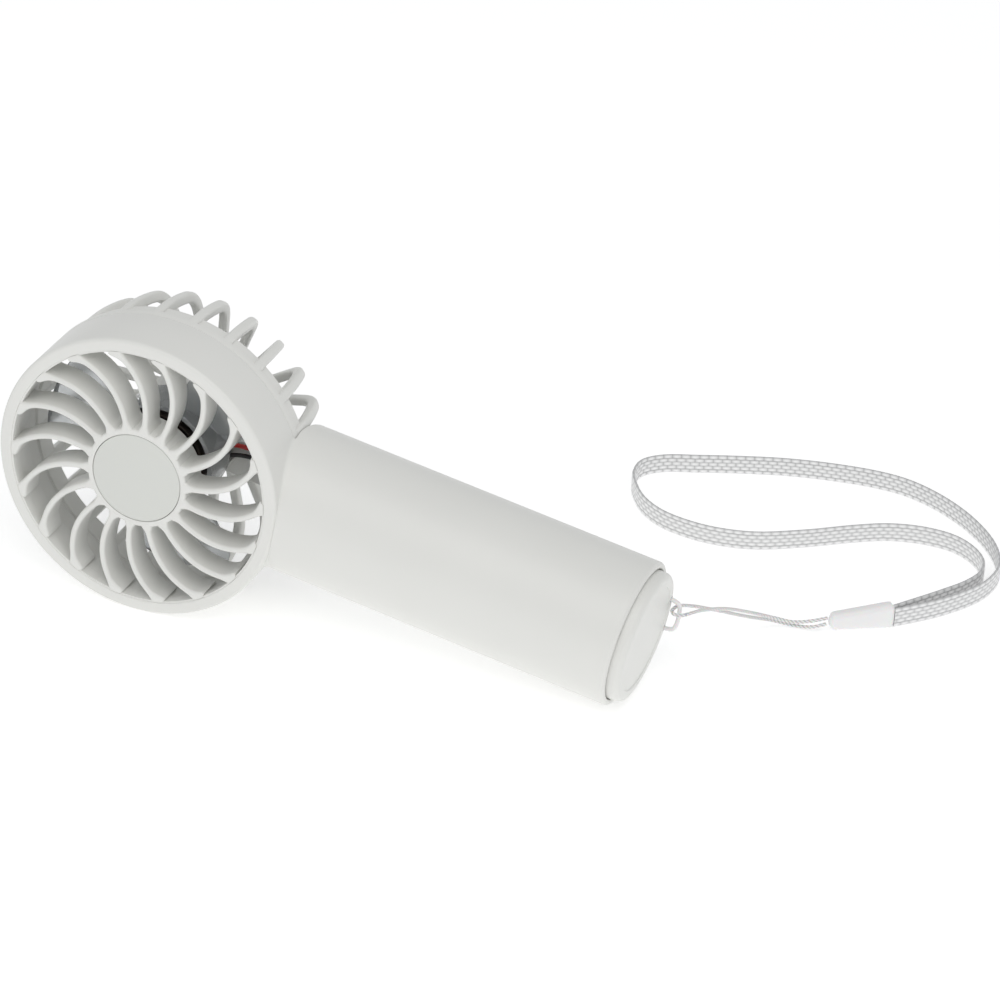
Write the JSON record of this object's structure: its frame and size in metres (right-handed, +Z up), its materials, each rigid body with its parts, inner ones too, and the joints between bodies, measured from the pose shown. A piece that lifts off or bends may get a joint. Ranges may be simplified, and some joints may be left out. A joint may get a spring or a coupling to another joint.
{
  "type": "handheld electric fan",
  "caption": "Pocket fan with a round caged head, a plain tubular handle and a looped wrist strap, lying on its side.",
  "frame": {"origin": "on the table, under the middle of the fan's own footprint, strap left out", "axes": "+X along the handle towards the strap end, +Y from the front grille to the rear cage, +Z up from the table the fan lies on"},
  "size_m": [0.2167, 0.1373, 0.0719],
  "materials": {
    "white_abs": "satin moulded",
    "badge": "matt",
    "smoke_blade": "translucent smoke",
    "steel": "satin",
    "rotor_steel": "dark blued",
    "bronze": "sintered",
    "copper": "enamelled wire",
    "magnet": "ferrite",
    "circuit_board": "solder mask",
    "black_plastic": "matt",
    "red_wire": "insulation",
    "black_wire": "insulation",
    "cell_sleeve": "shrink sleeve",
    "foam": "closed-cell foam",
    "clear_plastic": "clear moulded",
    "strap_plastic": "satin moulded",
    "strap_cord": "twisted nylon",
    "strap_ribbon": "flat woven nylon"
  },
  "bodies": {
    "body": {"main_housing": "white_abs", "front_grille": "white_abs", "badge_disc": "badge", "rear_cage": "white_abs", "cage_screw_1": "steel", "cage_screw_2": "steel", "bearing_sleeve": "bronze", "bearing_tube": "steel", "stator_core": "steel", "stator_coil_1": "copper", "stator_coil_2": "copper", "stator_coil_3": "copper", "stator_coil_4": "copper", "motor_board": "circuit_board", "motor_chip": "black_plastic", "red_motor_wire": "red_wire", "black_motor_wire": "black_wire", "battery_cell": "cell_sleeve", "battery_tray": "white_abs", "foam_pad": "foam", "circuit_board": "circuit_board", "board_screw_1": "steel", "board_screw_2": "steel", "usb_socket": "steel", "tact_switch": "black_plastic", "charge_led": "clear_plastic", "light_guide": "clear_plastic", "control_chip": "black_plastic", "red_battery_lead": "red_wire", "black_battery_lead": "black_wire", "end_cap": "white_abs", "strap_eyelet": "strap_plastic", "strap_cord_1": "strap_cord", "strap_cord_2": "strap_cord", "strap_ferrule": "strap_plastic", "strap_ribbon": "strap_ribbon"},
    "rotor": {"propeller": "smoke_blade", "rotor_can": "rotor_steel", "magnet_ring": "magnet", "motor_shaft": "steel", "shaft_clip": "steel"},
    "button": {"power_button": "white_abs", "switch_plunger": "black_plastic"}
  },
  "joints": [
    {"name": "propeller_spin", "type": "hinge", "parent": "body", "child": "rotor", "pos_m": [-0.04502, -0.0064, 0.03599], "axis": [0, 1, 0], "continuous": true},
    {"name": "power_button_press", "type": "slide", "parent": "body", "child": "button", "axis": [0, -1, 0], "range_m": [0, 0.0005], "stiffness_N_per_m": 2500, "springref_m": -0.0002}
  ]
}
